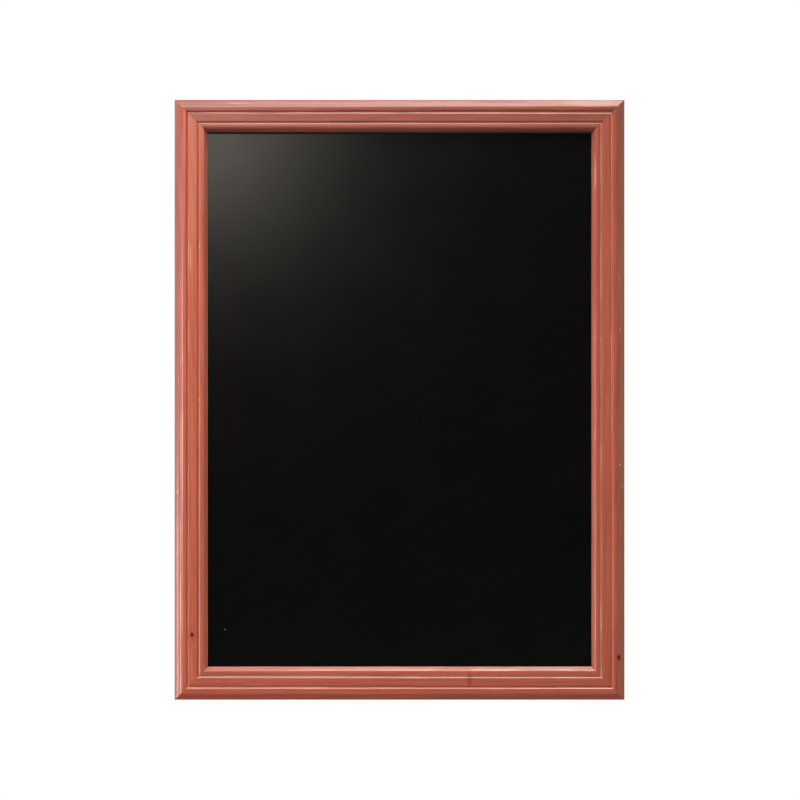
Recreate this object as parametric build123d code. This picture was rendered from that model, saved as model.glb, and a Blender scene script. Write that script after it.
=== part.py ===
from build123d import *
import os
from math import acos, degrees, radians, sin

# Framed board, hung upright: X runs to the right seen from the front, Z up, and the front faces -Y.
# The origin is the board's centre on the wall plane, where the backs of the bumpers lie.
board_width = 600.0
board_height = 800.0

# Frame moulding across its width, from the outer side to the sight edge
nose_slope_width = 9.6
nose_strip_width = 6.3
groove_width = 3.6
middle_band_width = 10.4
inner_band_width = 5.5
bevel_width = 5.0
rebate_width = 8.0

# Frame moulding through its thickness, from the back to the crest of the nose
crest_height = 18.0
nose_drop = 9.4
nose_strip_fall = 0.6
band_drop = 1.4
groove_depth = 1.3
inner_band_rise = 0.3
lip_edge_thickness = 2.0

# Place of the nose slope's bend, as shares of its width and of its drop
slope_bend_shares = (0.36, 0.39)

# Rounding of the moulding's edges
back_edge_radius = 0.6
shoulder_radius = 3.0
nose_slope_radius = 12.0
crest_radius = 1.2
groove_edge_radius = 0.5
groove_bottom_radius = 0.25
inner_band_radius = 2.0
bevel_edge_radius = 0.9
sight_edge_radius = 0.4

# Panel in the rebate
laminate_thickness = 0.8
core_thickness = 3.2
panel_side_clearance = 1.0
back_recess = 2.0

# V-nails behind the mitres
nail_leg = 8.0
nail_strip_thickness = 0.5
nail_strip_depth = 7.0
nail_bend_radius = 0.6
nail_outer_inset = 10.0
nail_spacing = 14.0
nails_per_corner = 2

# Flat points that hold the panel
point_width = 6.0
point_thickness = 0.6
point_length_in_wood = 7.0
point_length_on_panel = 6.0
point_tip_length = 3.0
points_per_stile = 4
points_per_rail = 3

# Hanger straps
strap_width = 11.0
strap_thickness = 0.8
strap_corner_radius = 3.0
strap_end_margin = 5.0
strap_crank_radius = 4.0
strap_hole_clearance = 0.3
strap_inset = 18.0
eye_wrap_angle = 285.0
hanger_end_distance = 150.0

# Hanger rings
ring_wire_diameter = 2.0
ring_arm_length = 7.0
ring_corner_radius = 3.0
ring_side_clearance = 0.5
ring_bearing_clearance = 0.05
ring_leaf_gap = 0.3
ring_screw_clearance = 3.0

# Hanger screws
screw_length = 12.0
screw_diameter = 3.0
screw_core_diameter = 2.1
screw_tip_length = 2.5
screw_head_diameter = 6.0
screw_head_height = 2.0
screw_head_rim = 0.5
thread_pitch = 1.3
thread_flat = 0.25
thread_flank = 0.35
cross_slot_length = 3.4
cross_slot_width = 0.7
cross_slot_depth = 1.1
pilot_side_clearance = 0.05
pilot_end_clearance = 1.0

# Wall bumpers
bumper_diameter = 12.0
bumper_height = 5.0
bumper_edge_radius = 1.0
bumper_end_distance = 60.0

# Extra length of every cutting solid
overrun = 1.0

# Sizes that follow from those above
moulding_width = (nose_slope_width + nose_strip_width + groove_width + middle_band_width
                  + groove_width + inner_band_width + bevel_width)
flat_back_width = moulding_width - rebate_width
rebate_depth = laminate_thickness + core_thickness + back_recess
frame_back = -bumper_height
eye_bore_radius = ring_wire_diameter / 2 + ring_bearing_clearance
eye_middle_radius = eye_bore_radius + strap_thickness / 2
eye_height = strap_thickness + ring_leaf_gap + ring_wire_diameter / 2
ring_half_bar = strap_width / 2 + ring_side_clearance + ring_corner_radius
ring_reach = ring_arm_length + ring_half_bar
screw_step = ring_wire_diameter / 2 + ring_screw_clearance + screw_head_diameter / 2
screw_places = (-(ring_reach - screw_step), -(ring_reach + screw_step))
strap_leaf_length = ring_reach + screw_step + strap_end_margin

# Sides in the order of quarter turns from the top, and corners as steps to the right and up
sides = ("top", "right", "bottom", "left")
rails = ("top", "bottom")
corners = {"top_left": (-1, 1), "top_right": (1, 1), "bottom_left": (-1, -1), "bottom_right": (1, -1)}


def moulding_section():
    """Section of the moulding: X inwards from the outer side, Y from the back to the front."""
    half_groove = groove_width / 2
    strip_end = nose_slope_width + nose_strip_width
    band_start = strip_end + groove_width
    band_end = band_start + middle_band_width
    inner_start = band_end + groove_width
    bevel_start = inner_start + inner_band_width
    band_level = crest_height - band_drop
    groove_level = band_level - groove_depth
    slope_bend_x = nose_slope_width * slope_bend_shares[0]
    slope_bend_y = crest_height - nose_drop * slope_bend_shares[1]
    outline = (
        (0, 0, back_edge_radius),
        (0, crest_height - nose_drop, shoulder_radius),
        (slope_bend_x, slope_bend_y, nose_slope_radius),
        (nose_slope_width, crest_height, crest_radius),
        (strip_end, crest_height - nose_strip_fall, groove_edge_radius),
        (strip_end + half_groove, groove_level, groove_bottom_radius),
        (band_start, band_level, groove_edge_radius),
        (band_end, band_level, groove_edge_radius),
        (band_end + half_groove, groove_level, groove_bottom_radius),
        (inner_start, band_level, groove_edge_radius),
        (inner_start + inner_band_width / 2, band_level + inner_band_rise, inner_band_radius),
        (bevel_start, band_level, bevel_edge_radius),
        (moulding_width, rebate_depth + lip_edge_thickness, sight_edge_radius),
        (moulding_width, rebate_depth, 0),
        (flat_back_width, rebate_depth, 0),
        (flat_back_width, 0, 0),
    )
    points = [(x, y) for x, y, radius in outline]
    radii = [radius for x, y, radius in outline]
    return make_face(FilletPolyline(points, radius=radii, close=True))


def frame_member(length, reach):
    """Mitred member along X, its outer side facing +Z at the given reach from the centre."""
    start = Plane(origin=(length / 2, frame_back, reach), x_dir=(0, 0, -1), z_dir=(-1, 0, 0))
    member = extrude(start * moulding_section(), amount=length, dir=(-1, 0, 0))
    for end in (-1, 1):
        mitre = Plane(origin=(end * length / 2, 0, reach), z_dir=(end, 0, -1))
        member = split(member, bisect_by=mitre, keep=Keep.BOTTOM)
    return member


def turned_to(side, shape):
    """Turn a shape made for the top side to the side named."""
    return Rot(0, 90 * sides.index(side), 0) * shape


def side_length(side):
    """Outer length of the frame member on a side."""
    return board_width if side in rails else board_height


def side_reach(side):
    """Distance from the board's centre to the outer side of a frame member."""
    return board_height / 2 if side in rails else board_width / 2


def panel_sheet(thickness, back_height):
    """Sheet in the rebate, its back at a height above the frame's back."""
    border = flat_back_width + panel_side_clearance
    sheet = Box(board_width - 2 * border, thickness, board_height - 2 * border)
    return Pos(0, frame_back - back_height - thickness / 2, 0) * sheet


def corner_nails(right, up):
    """V-nails across one mitre, their bends towards the outer corner."""
    bend = nail_bend_radius + nail_strip_thickness / 2
    strip = FilletPolyline((-nail_leg, 0), (0, 0), (0, -nail_leg), radius=bend)
    back = Plane(origin=(0, frame_back, 0), x_dir=(1, 0, 0), z_dir=(0, -1, 0))
    nail = extrude(back * trace(strip, nail_strip_thickness), amount=nail_strip_depth, dir=(0, -1, 0))
    nails = []
    for place in range(nails_per_corner):
        inset = nail_outer_inset + place * nail_spacing
        placed = Pos(board_width / 2 - inset, 0, board_height / 2 - inset) * nail
        if right < 0:
            placed = mirror(placed, about=Plane.YZ)
        if up < 0:
            placed = mirror(placed, about=Plane.XY)
        nails.append(placed)
    return nails


def panel_points(side):
    """Flat points along one side, their tips in the rebate's wall and their tails on the panel."""
    shoulder = point_length_in_wood - point_tip_length
    blade = Polygon(
        (-point_width / 2, -point_length_on_panel),
        (point_width / 2, -point_length_on_panel),
        (point_width / 2, shoulder),
        (0, point_length_in_wood),
        (-point_width / 2, shoulder),
        align=None,
    )
    rebate_wall = side_reach(side) - flat_back_width
    panel_back = Plane(
        origin=(0, frame_back - back_recess, rebate_wall), x_dir=(-1, 0, 0), z_dir=(0, 1, 0)
    )
    point = extrude(panel_back * blade, amount=point_thickness, dir=(0, 1, 0))
    count = points_per_rail if side in rails else points_per_stile
    spacing = side_length(side) / count
    first = (spacing - side_length(side)) / 2
    return [turned_to(side, Pos(first + spacing * place, 0, 0) * point) for place in range(count)]


def strap_side_view():
    """Side view of a strap: X along the leaf towards the eye, Y away from the frame's back."""
    rise = ring_leaf_gap - ring_bearing_clearance
    crank_angle = degrees(acos(1 - rise / (2 * strap_crank_radius)))
    crank_run = 2 * strap_crank_radius * sin(radians(crank_angle))
    leaf = Line((-strap_leaf_length, strap_thickness / 2), (-crank_run, strap_thickness / 2))
    crank_up = JernArc(leaf @ 1, leaf % 1, strap_crank_radius, crank_angle)
    crank_level = JernArc(crank_up @ 1, crank_up % 1, strap_crank_radius, -crank_angle)
    eye = JernArc(crank_level @ 1, crank_level % 1, eye_middle_radius, eye_wrap_angle)
    return trace(Wire([leaf, crank_up, crank_level, eye]), strap_thickness)


def strap():
    """Strap on the frame's back, the axis of its eye on X = 0, Z = 0 and its leaf downwards."""
    side = Plane(origin=(-strap_width / 2, frame_back, 0), x_dir=(0, 0, 1), z_dir=(-1, 0, 0))
    body = extrude(side * strap_side_view(), amount=strap_width, dir=(1, 0, 0))
    leaf_corners = body.edges().filter_by(Axis.Y).sort_by(Axis.Z)[:2]
    body = fillet(leaf_corners, strap_corner_radius)
    hole = Cylinder(screw_diameter / 2 + strap_hole_clearance, strap_thickness + 2 * overrun)
    for z in screw_places:
        body -= Pos(0, frame_back + strap_thickness / 2, z) * Rot(90, 0, 0) * hole
    return body


def ring():
    """D ring held up by its wall hook, its bar in the eye and its bow above."""
    bar = FilletPolyline(
        (-ring_half_bar, ring_arm_length), (-ring_half_bar, 0),
        (ring_half_bar, 0), (ring_half_bar, ring_arm_length),
        radius=ring_corner_radius,
    )
    bow = ThreePointArc(
        (ring_half_bar, ring_arm_length), (0, ring_reach), (-ring_half_bar, ring_arm_length)
    )
    middle = Plane(origin=(0, frame_back + eye_height, 0), x_dir=(1, 0, 0), z_dir=(0, -1, 0))
    path = middle * Wire(bar.edges() + bow.edges())
    start = Plane(origin=path @ 0, z_dir=path % 0)
    return sweep(start * Circle(ring_wire_diameter / 2), path=path)


def screw_head():
    """Pan head with a cross recess, its underside at Z = 0."""
    head_radius = screw_head_diameter / 2
    outline = Polyline((0, screw_head_height), (0, 0), (head_radius, 0), (head_radius, screw_head_rim))
    crown = TangentArc((0, screw_head_height), (head_radius, screw_head_rim), tangent=(1, 0))
    head = revolve(Plane.XZ * make_face(outline + crown), axis=Axis.Z)
    slot_height = cross_slot_depth + overrun
    slot = Box(cross_slot_length, cross_slot_width, slot_height)
    for angle in (0, 90):
        head -= Pos(0, 0, screw_head_height + overrun - slot_height / 2) * Rot(0, 0, angle) * slot
    return head


def screw():
    """Pan head wood screw, its head above Z = 0 and its threaded shank below."""
    shank_radius = screw_diameter / 2
    core_radius = screw_core_diameter / 2
    thread_end = screw_length - screw_tip_length
    outline = [(0, 0), (core_radius, 0)]
    for turn in range(int(thread_end / thread_pitch)):
        middle = -(turn + 1 / 2) * thread_pitch
        outline += [
            (core_radius, middle + thread_flat / 2 + thread_flank),
            (shank_radius, middle + thread_flat / 2),
            (shank_radius, middle - thread_flat / 2),
            (core_radius, middle - thread_flat / 2 - thread_flank),
        ]
    outline += [(core_radius, -thread_end), (0, -screw_length)]
    shank = revolve(Plane.XZ * make_face(Polyline(*outline, close=True)), axis=Axis.Z)
    return screw_head() + shank


def at_screw_places(shape, height):
    """Two copies of a shape made along Z, at a strap's screws and a height off the frame's back."""
    return [Pos(0, frame_back + height, z) * Rot(-90, 0, 0) * shape for z in screw_places]


def hanger_place(side):
    """Place of a hanger's eye: on the stiles for hanging upright, on the rails for hanging sideways."""
    outward = 1 if side in ("top", "right") else -1
    if side in rails:
        eye = Pos(-board_width / 2 + hanger_end_distance, 0, outward * (board_height / 2 - strap_inset))
        return eye * Rot(0, -90, 0)
    return Pos(outward * (board_width / 2 - strap_inset), 0, board_height / 2 - hanger_end_distance)


def bumper(right, up):
    """Round bumper stuck to the back of a stile, near its end."""
    disc = Cylinder(bumper_diameter / 2, bumper_height)
    disc = fillet(disc.edges().sort_by(Axis.Z)[-1], bumper_edge_radius)
    x = right * (board_width / 2 - strap_inset)
    z = up * (board_height / 2 - bumper_end_distance)
    return Pos(x, frame_back + bumper_height / 2, z) * Rot(-90, 0, 0) * disc


def write(name, solids):
    """Write one node, of one solid or of a group."""
    shape = solids[0] if len(solids) == 1 else Compound(children=solids)
    shape.label = name
    export_step(shape, "parts/" + name + ".step")


os.makedirs("parts", exist_ok=True)

# Nails and points, which the wood is cut for, and the bumpers
nails = []
for corner, (right, up) in corners.items():
    pair = corner_nails(right, up)
    write("corner_nails_" + corner, pair)
    write("bumper_" + corner, [bumper(right, up)])
    nails += pair

points = {side: panel_points(side) for side in sides}
for side in sides:
    write("panel_points_" + side, points[side])

# Hangers
pilot_length = screw_length - strap_thickness + pilot_end_clearance
pilot = Pos(0, 0, -pilot_length / 2) * Cylinder(screw_diameter / 2 + pilot_side_clearance, pilot_length)
screws = []
for side in sides:
    place = hanger_place(side)
    write("hanger_strap_" + side, [place * strap()])
    write("hanger_ring_" + side, [place * ring()])
    screws += [place * part for part in at_screw_places(screw(), strap_thickness)]
write("hanger_screws", screws)

# Frame members, cut for the nails, the points and the screws
for side in sides:
    member = turned_to(side, frame_member(side_length(side), side_reach(side)))
    pilots = [hanger_place(side) * part for part in at_screw_places(pilot, 0)]
    for cutter in nails + points[side] + pilots:
        member -= cutter
    write(side + ("_rail" if side in rails else "_stile"), [member])

# Panel
write("writing_surface", [panel_sheet(laminate_thickness, back_recess + core_thickness)])
write("panel_core", [panel_sheet(core_thickness, back_recess)])
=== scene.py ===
"""Looks of a framed wall chalkboard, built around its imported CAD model.

Lengths are metres, apart from the marks on the wood, the bends of the moulding's section
and the insets of its lines, which are millimetres. The board hangs upright: X runs to the
right seen from the front, Z up, and the front faces -Y. The origin is the board's centre on
the wall plane.
"""

import logging
import math
from dataclasses import dataclass
from enum import Enum
from functools import partial, reduce
from typing import Callable, Optional, Sequence, Union

import bmesh
import bpy
from mathutils import Matrix, Vector

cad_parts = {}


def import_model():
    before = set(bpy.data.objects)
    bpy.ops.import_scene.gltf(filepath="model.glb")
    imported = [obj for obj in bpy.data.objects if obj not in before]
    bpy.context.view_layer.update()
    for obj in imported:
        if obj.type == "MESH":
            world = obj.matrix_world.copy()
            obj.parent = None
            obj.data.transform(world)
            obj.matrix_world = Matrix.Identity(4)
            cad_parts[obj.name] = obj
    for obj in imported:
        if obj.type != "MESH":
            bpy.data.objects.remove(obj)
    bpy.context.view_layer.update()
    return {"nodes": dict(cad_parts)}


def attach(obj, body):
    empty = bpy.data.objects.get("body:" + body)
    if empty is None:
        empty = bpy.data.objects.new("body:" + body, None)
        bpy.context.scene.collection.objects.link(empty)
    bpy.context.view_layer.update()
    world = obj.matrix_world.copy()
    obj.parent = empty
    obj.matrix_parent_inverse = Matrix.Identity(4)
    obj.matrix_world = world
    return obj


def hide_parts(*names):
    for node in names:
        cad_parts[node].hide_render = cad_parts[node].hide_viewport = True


log = logging.getLogger("chalkboard")

MM = 0.001

Colour = tuple[float, float, float]
Point = tuple[float, float, float]
Span = tuple[float, float, float]
Outline = list[tuple[float, float]]
Prism = tuple[Outline, float, float]
Mesh = bmesh.types.BMesh
Thing = bpy.types.Object
Socket = bpy.types.NodeSocket
Sockets = bpy.types.bpy_prop_collection
Feed = Union[Socket, float, Sequence[float]]


class Place(Enum):
    """A place on the board whose words are in the names of pieces and nodes."""

    @property
    def label(self) -> str:
        """The place's words in piece and node names."""
        return self.name.lower()


class Side(Place):
    """Sides of the board, numbered in quarter turns from the top, clockwise from the front."""

    TOP = 0
    RIGHT = 1
    BOTTOM = 2
    LEFT = 3

    @property
    def is_rail(self) -> bool:
        """Whether the frame member on this side is a rail, which lies level."""
        return self in (Side.TOP, Side.BOTTOM)

    @property
    def turn(self) -> float:
        """Angle about Y that carries the top side to this one."""
        return self.value * math.pi / 2


class Corner(Place):
    """Corners of the board, each as its steps to the right and up."""

    TOP_LEFT = (-1, 1)
    TOP_RIGHT = (1, 1)
    BOTTOM_LEFT = (-1, -1)
    BOTTOM_RIGHT = (1, -1)


class Slot(Enum):
    """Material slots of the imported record."""

    WOOD = "stained_wood"
    LAMINATE = "chalk_laminate"
    HARDBOARD = "hardboard"
    BRIGHT_STEEL = "bright_steel"
    ZINC_STEEL = "zinc_steel"
    ZINC_SCREWS = "zinc_screws"
    RUBBER = "bumper_rubber"


class Mark(Enum):
    """What a line or a spot on the wood looks like."""

    # Pale: worn wood, and painted highlights on lit lips, arrises and slopes.
    PALE = "rubbed thin"
    # Hazy: painted sheen, a greyish white laid over the lacquer.
    HAZY = "lacquer gone hazy"
    # Dark: dark grain, and painted shade on groove walls and bevels that face away from the light.
    DARK = "dark grain"


PALE, HAZY, DARK = Mark


@dataclass(frozen=True)
class Board:
    """Overall sizes that the sub-assemblies share."""

    width: float = 600 * MM
    height: float = 800 * MM
    frame_back: float = -5 * MM
    flat_back_width: float = 36 * MM
    back_recess: float = 2 * MM
    hanger_inset: float = 18 * MM
    hanger_end_distance: float = 150 * MM

    def length(self, side: Side) -> float:
        """Outer length of the frame member on a side."""
        return self.width if side.is_rail else self.height

    def reach(self, side: Side) -> float:
        """Distance from the board's centre to the outer side of a frame member."""
        return (self.height if side.is_rail else self.width) / 2


class Graph:
    """Adds nodes to one node tree and wires them."""

    def __init__(self, tree: bpy.types.NodeTree) -> None:
        """Start on an existing node tree."""
        self.tree = tree

    def feed(self, socket: Socket, value: Feed) -> None:
        """Link a socket into an input, or set the input's own value.

        Args:
            socket: The input.
            value: What goes into it, three parts for a colour.
        """
        if isinstance(value, Socket):
            self.tree.links.new(value, socket)
        else:
            socket.default_value = (*value, 1.0) if socket.type == "RGBA" else value

    def fill(self, node: bpy.types.Node, values: dict[str, Feed]) -> None:
        """Feed a node's inputs by name, with underscores for spaces."""
        for name, value in values.items():
            self.feed(node.inputs[name.replace("_", " ")], value)

    def add(self, kind: str, *feeds: Feed, **settings: object) -> bpy.types.Node:
        """Add a node.

        Args:
            kind: Blender's name of the node type, after the words ShaderNode.
            feeds: What goes into the inputs that are in use, in order.
            settings: Properties to set on the node.

        Returns:
            The new node.
        """
        node = self.tree.nodes.new("ShaderNode" + kind)
        for name, value in settings.items():
            setattr(node, name, value)
        for socket, value in zip([s for s in node.inputs if s.enabled], feeds):
            self.feed(socket, value)
        return node

    def out(self, kind: str, *feeds: Feed, **settings: object) -> Socket:
        """Add a node and give the first of its outputs that is in use."""
        node = self.add(kind, *feeds, **settings)
        return next(s for s in node.outputs if s.enabled)

    def place(self, group: str, **values: Feed) -> Sockets:
        """Place a node group.

        Args:
            group: The group's name.
            values: What goes into its inputs, named with underscores for spaces.

        Returns:
            Its outputs.
        """
        node = self.add("Group", node_tree=bpy.data.node_groups[group])
        self.fill(node, values)
        return node.outputs

    def mask(self, group: str, **values: Feed) -> Socket:
        """Place a node group that puts out one mask."""
        return self.place(group, **values)["Mask"]

    def math(self, operation: str, *values: Feed, clamp: bool = False) -> Socket:
        """Result of a Math node."""
        return self.out("Math", *values, operation=operation, use_clamp=clamp)

    def plus(self, *values: Feed) -> Socket:
        """Sum of some values."""
        return reduce(partial(self.math, "ADD"), values)

    def minus(self, whole: Feed, part: Feed) -> Socket:
        """Difference of two values."""
        return self.math("SUBTRACT", whole, part)

    def times(self, *values: Feed) -> Socket:
        """Product of some values."""
        return reduce(partial(self.math, "MULTIPLY"), values)

    def vector(self, operation: str, *values: Feed) -> Socket:
        """Result of a Vector Math node."""
        return self.out("VectorMath", *values, operation=operation)

    def scaled(self, vector: Feed, scale: Feed) -> Socket:
        """A vector multiplied part by part."""
        return self.vector("MULTIPLY", vector, scale)

    def reach(self, vector: Feed, centre: Feed, scale: Feed) -> Socket:
        """Distance of a place from a centre, each part of the gap multiplied first."""
        return self.vector("LENGTH", self.scaled(self.vector("SUBTRACT", vector, centre), scale))

    def parts(self, vector: Feed) -> Sockets:
        """The three parts of a vector."""
        return self.add("SeparateXYZ", vector).outputs

    def linear(self, value: Feed, low: Feed, high: Feed, to_low: Feed = 0.0,
               to_high: Feed = 1.0) -> Socket:
        """Straight map of a value from one range to another, held at its ends."""
        return self.out("MapRange", value, low, high, to_low, to_high, clamp=True)

    def smooth(self, value: Feed, low: float, high: float, to_low: float = 0.0,
               to_high: float = 1.0) -> Socket:
        """Smooth step of a value between two limits, which may also fall."""
        ends = (low, high, to_low, to_high) if high > low else (high, low, to_high, to_low)
        return self.out("MapRange", value, *ends, interpolation_type="SMOOTHSTEP")

    def mix(self, factor: Feed, first: Feed, second: Feed, blend: str = "MIX") -> Socket:
        """Mix of two colours."""
        return self.out("Mix", factor, first, second, data_type="RGBA", blend_type=blend)

    def cover(self, colour: Feed, *layers: tuple[Feed, Feed, Feed]) -> Feed:
        """Lay colours over a first one.

        Args:
            colour: The first colour.
            layers: Each further colour, its mask and how far it covers there.

        Returns:
            The colour that shows.
        """
        for over, mask, strength in layers:
            colour = self.mix(self.times(mask, strength), colour, over)
        return colour

    def noise(self, vector: Feed, scale: Feed = 1.0, detail: float = 2.0,
              roughness: float = 0.5, seed: Feed = 0.0) -> Socket:
        """Value of a four-dimensional noise, whose fourth coordinate is a seed."""
        return self.out("TexNoise", vector, seed, scale, detail, roughness,
                        noise_dimensions="4D")


class Effect(Graph):
    """A shader node group under construction, with named inputs and outputs."""

    def __init__(self, name: str, outputs: Sequence[str] = ("Mask",),
                 **usual: Optional[Feed]) -> None:
        """Make the group, its Vector input and its other sockets.

        Args:
            name: The group's name.
            outputs: Names of the outputs, all values.
            usual: Usual value of each further input, None for a vector that is always fed.
        """
        tree = bpy.data.node_groups.new(name, "ShaderNodeTree")
        usual = {"Vector": None, **usual}
        for label, value in usual.items():
            kind = "NodeSocketFloat" if isinstance(value, float) else "NodeSocketVector"
            socket = tree.interface.new_socket(label.replace("_", " "), in_out="INPUT",
                                               socket_type=kind)
            if value is not None:
                socket.default_value = value
        for label in outputs:
            tree.interface.new_socket(label, in_out="OUTPUT", socket_type="NodeSocketFloat")
        super().__init__(tree)
        self.inputs = list(tree.nodes.new("NodeGroupInput").outputs)[:len(usual)]
        self.outlet = tree.nodes.new("NodeGroupOutput")

    def done(self, **values: Feed) -> None:
        """Send values to the outputs."""
        self.fill(self.outlet, values)


class Effects:
    """Shader effects that several materials use, as node groups found by their names."""

    def build(self) -> None:
        """Build every group."""
        for make in (self._grain, self._pin_knot, self._lengthwise_line, self._grain_spot,
                     self._specks, self._rub_marks, self._edge_wear):
            make()

    @staticmethod
    def _grain() -> None:
        """Lengthwise grain of a stick of wood, X running along it.

        Its masks are growth rings, fibres, streaks, broad tone, short flecks, and stretches
        where a line fades.
        """
        # Output, stretch of its noise, detail, roughness, kind of step and its two limits.
        patterns = (("Fibre", (11, 620, 620), 4.0, 0.62, Graph.linear, 0.3, 0.7),
                    ("Streaks", (9, 330, 330), 3.0, 0.55, Graph.linear, 0.34, 0.66),
                    ("Broad", (7, 60, 60), 2.0, 0.5, Graph.linear, 0.3, 0.7),
                    ("Flecks", (55, 900, 900), 2.0, 0.6, Graph.smooth, 0.62, 0.72),
                    ("Fades", (16, 160, 160), 2.0, 0.5, Graph.smooth, 0.60, 0.42))
        g = Effect("lengthwise_grain", ("Rings", *(row[0] for row in patterns)),
                   Pith_Height=-30 * MM, Pith_Inset=50 * MM, Run_Out=0.02,
                   Ring_Spacing=2.4 * MM, Waviness=1.6 * MM, Bend=0.0, Seed=0.0)
        vector, pith_height, pith_inset, run_out, spacing, waviness, bend, seed = g.inputs
        along, height, inset = g.parts(vector)
        up = g.minus(g.minus(height, pith_height), g.times(along, run_out))
        across = g.minus(inset, pith_inset)
        radius = g.math("SQRT", g.plus(g.times(up, up), g.times(across, across)))
        slow, quick = (g.minus(g.noise(g.scaled(vector, stretch), detail=1.0, seed=seed), 0.5)
                       for stretch in ((5, 26, 26), (24, 150, 150)))
        wave = g.times(g.plus(slow, g.times(quick, 0.25)), 4.0, waviness)
        phase = g.math("FRACT", g.math("DIVIDE", g.plus(radius, wave, bend), spacing))
        rings = g.times(g.smooth(phase, 0.25, 0.88), g.smooth(phase, 1.0, 0.9))
        masks = {name: step(g, g.noise(g.scaled(vector, stretch), 1.0, detail, roughness, seed),
                            low, high)
                 for name, stretch, detail, roughness, step, low, high in patterns}
        g.done(Rings=rings, **masks)

    @staticmethod
    def _pin_knot() -> None:
        """Small round knot, its halo, and the grain's bend round it in metres."""
        g = Effect("pin_knot", ("Core", "Halo", "Bend"), Centre=None, Radius=2 * MM, Seed=0.0)
        vector, centre, radius, seed = g.inputs
        gap = g.vector("SUBTRACT", vector, centre)
        edge = g.noise(g.scaled(gap, (900, 900, 900)), detail=1.0, seed=seed)
        near, far = (g.math("DIVIDE", g.reach(vector, centre, scale), radius)
                     for scale in ((0.8, 1.0, 1.0), (0.22, 0.6, 0.6)))
        ragged = g.plus(near, g.times(g.minus(edge, 0.5), 0.7))
        halo = g.math("EXPONENT", g.times(far, far, -1.0))
        g.done(Core=g.smooth(ragged, 1.05, 0.7), Halo=halo, Bend=g.times(halo, radius, -1.6))

    @staticmethod
    def _lengthwise_line() -> None:
        """Soft line along a moulding's front."""
        g = Effect("lengthwise_line", Inset=17 * MM, Half_Width=0.8 * MM, Fade=0.0,
                   Least_Height=6.5 * MM)
        vector, inset, half_width, fade, least_height = g.inputs
        _, height, across = g.parts(vector)
        gap = g.math("ABSOLUTE", g.minus(across, inset))
        line = g.smooth(g.math("DIVIDE", gap, half_width), 1.0, 0.3)
        front = g.math("GREATER_THAN", height, least_height)
        g.done(Mask=g.times(line, g.times(front, g.minus(1.0, fade))))

    @staticmethod
    def _grain_spot() -> None:
        """One small soft spot, drawn out along the grain."""
        g = Effect("grain_spot", Centre=None, Closeness=(250.0, 0.0, 1250.0))
        g.done(Mask=g.smooth(g.reach(*g.inputs), 1.0, 0.25))

    @staticmethod
    def _specks() -> None:
        """Scattered specks, such as dust, chips or bloom."""
        g = Effect("specks", Scale=800.0, Least=0.62, Softness=0.06, Seed=0.0)
        vector, scale, least, softness, seed = g.inputs
        noise = g.noise(vector, scale, 3.0, 0.65, seed)
        g.done(Mask=g.linear(noise, least, g.plus(least, softness)))

    @staticmethod
    def _rub_marks() -> None:
        """Fine marks drawn out in one direction, such as scuffs or roller lines."""
        g = Effect("rub_marks", Turn=(0.0, 0.0, 0.0), Stretch=(40.0, 900.0, 900.0), Least=0.6,
                   Softness=0.1, Seed=0.0)
        vector, turn, stretch, least, softness, seed = g.inputs
        turned = g.out("VectorRotate", vector, (0.0, 0.0, 0.0), turn,
                       rotation_type="EULER_XYZ")
        noise = g.noise(g.scaled(turned, stretch), 1.0, 3.0, 0.6, seed)
        g.done(Mask=g.linear(noise, least, g.plus(least, softness)))

    @staticmethod
    def _edge_wear() -> None:
        """Outer edges, from how the mesh bends, broken up by noise."""
        g = Effect("edge_wear", Least=0.52, Most=0.6, Break_Up=300.0)
        vector, least, most, break_up = g.inputs
        edge = g.linear(g.add("NewGeometry").outputs["Pointiness"], least, most)
        g.done(Mask=g.times(edge, g.linear(g.noise(vector, break_up), 0.35, 0.6)))


class Material(Graph):
    """The graph of a new material, with its Principled shader ready to be fed."""

    def __init__(self, name: str, **constants: float) -> None:
        """Make the material and set what is the same all over it.

        Args:
            name: The material's name.
            constants: Values of the shader's inputs, named with underscores for spaces.
        """
        self.data = bpy.data.materials.new(name)
        self.data.use_nodes = True
        super().__init__(self.data.node_tree)
        self.shader = next(n for n in self.tree.nodes if n.type == "BSDF_PRINCIPLED")
        # Coordinates of the piece itself, which are the board's own at rest.
        self.coords = self.add("TexCoord").outputs["Object"]
        self.set(**constants)

    def set(self, **values: Feed) -> None:
        """Feed the shader's inputs, named with underscores for spaces."""
        self.fill(self.shader, values)

    def bump(self, height: Socket, distance: float, strength: float) -> None:
        """Raise the surface's normal.

        Args:
            height: Height between 0 and 1.
            distance: The full height in metres.
            strength: How far the normal follows.
        """
        node = self.add("Bump")
        self.fill(node, {"Strength": strength, "Distance": distance, "Height": height})
        self.set(Normal=node.outputs[0])


@dataclass(frozen=True)
class Flaw:
    """Something at one place of a frame member, in millimetres.

    Attributes:
        along: Place along the member, from its middle towards its end.
        inset: Place across it, from its outer side.
    """

    along: float
    inset: float


@dataclass(frozen=True)
class Knot(Flaw):
    """A pin knot.

    Attributes:
        height: Height above the frame's back.
        radius: Radius of the dark core.
    """

    height: float
    radius: float


@dataclass(frozen=True)
class WearAndLightLine:
    """A line along a frame member, in millimetres, that shows wear, stain, painted highlight or
    painted shade.

    Attributes:
        inset: Place across the member.
        half_width: Half the line's width.
        strength: How far it covers the wood at the member's start, middle and end.
        mark: What the line looks like.
    """

    inset: float
    half_width: float
    strength: Span
    mark: Mark = PALE


@dataclass(frozen=True)
class Spot(Flaw):
    """A small light or dark spot in the grain, or a patch of painted sheen.

    Attributes:
        half_length: Half its length along the grain.
        half_width: Half its width.
        strength: How far it covers the wood.
        mark: What the spot looks like.
    """

    half_length: float
    half_width: float
    strength: float
    mark: Mark = PALE


@dataclass(frozen=True)
class Nick(Flaw):
    """A small dent.

    Attributes:
        depth: How far it is pressed in.
        length: Its half length along the member.
        width: Its half width across.
    """

    depth: float
    length: float
    width: float


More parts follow.
